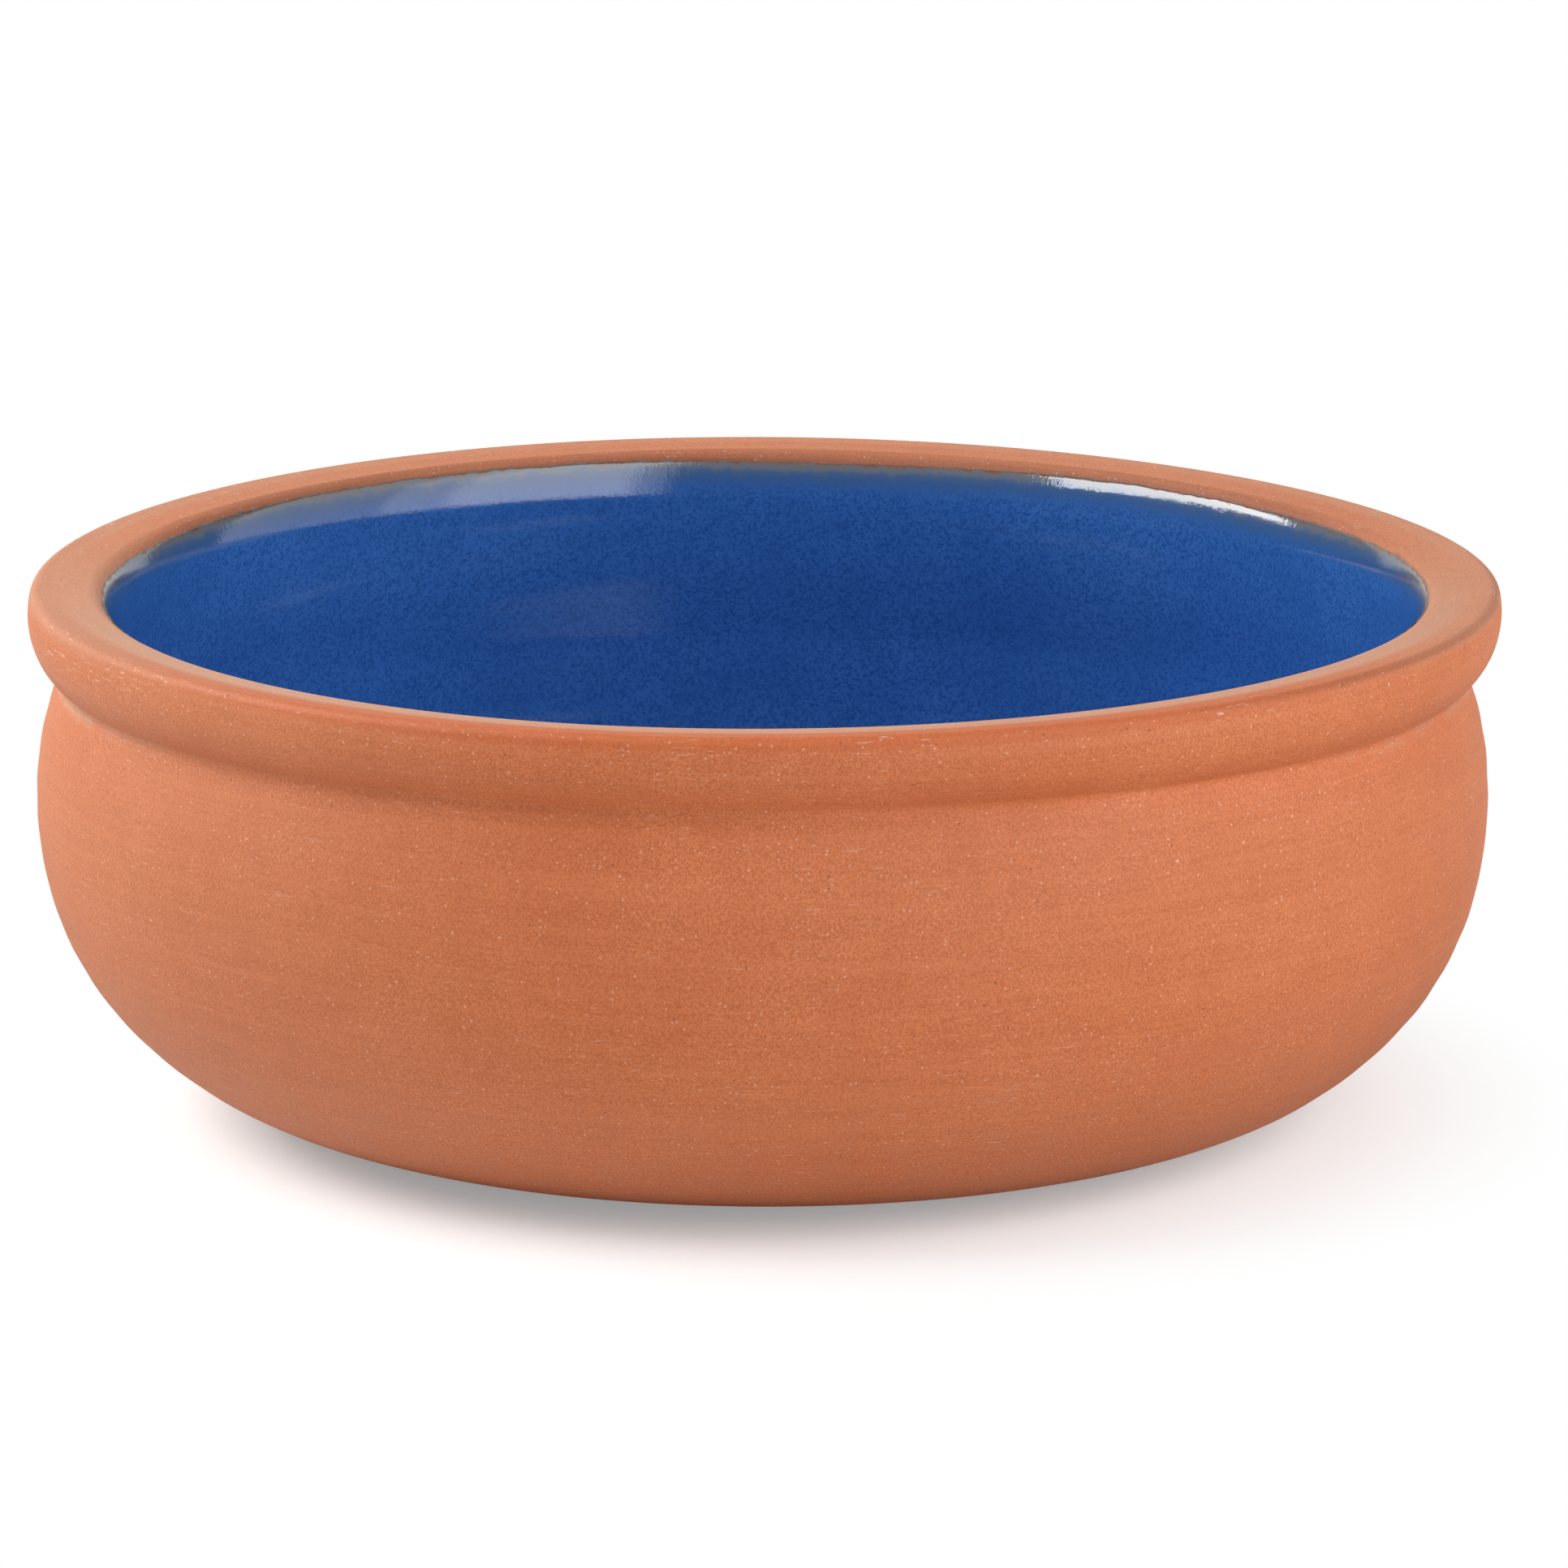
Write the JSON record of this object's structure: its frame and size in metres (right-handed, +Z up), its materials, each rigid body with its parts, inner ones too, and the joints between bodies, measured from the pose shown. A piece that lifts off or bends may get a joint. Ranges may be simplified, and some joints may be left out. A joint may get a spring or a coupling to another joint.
{
  "type": "cazuela",
  "caption": "Round, shallow terracotta dish with a flat foot, a full belly, a turned neck and a rolled rim, glazed blue inside.",
  "frame": {"origin": "centre of the flat foot, on the surface that the dish stands on", "axes": "+Z up along the dish's axis of revolution; the dish is the same all round, so +X and +Y are any two level directions, and the picture looks along +Y with +X to the right"},
  "size_m": [0.2, 0.2, 0.0724],
  "materials": {
    "clay": "matte",
    "glaze": "gloss"
  },
  "bodies": {
    "root": {"bowl": "clay"}
  },
  "joints": []
}
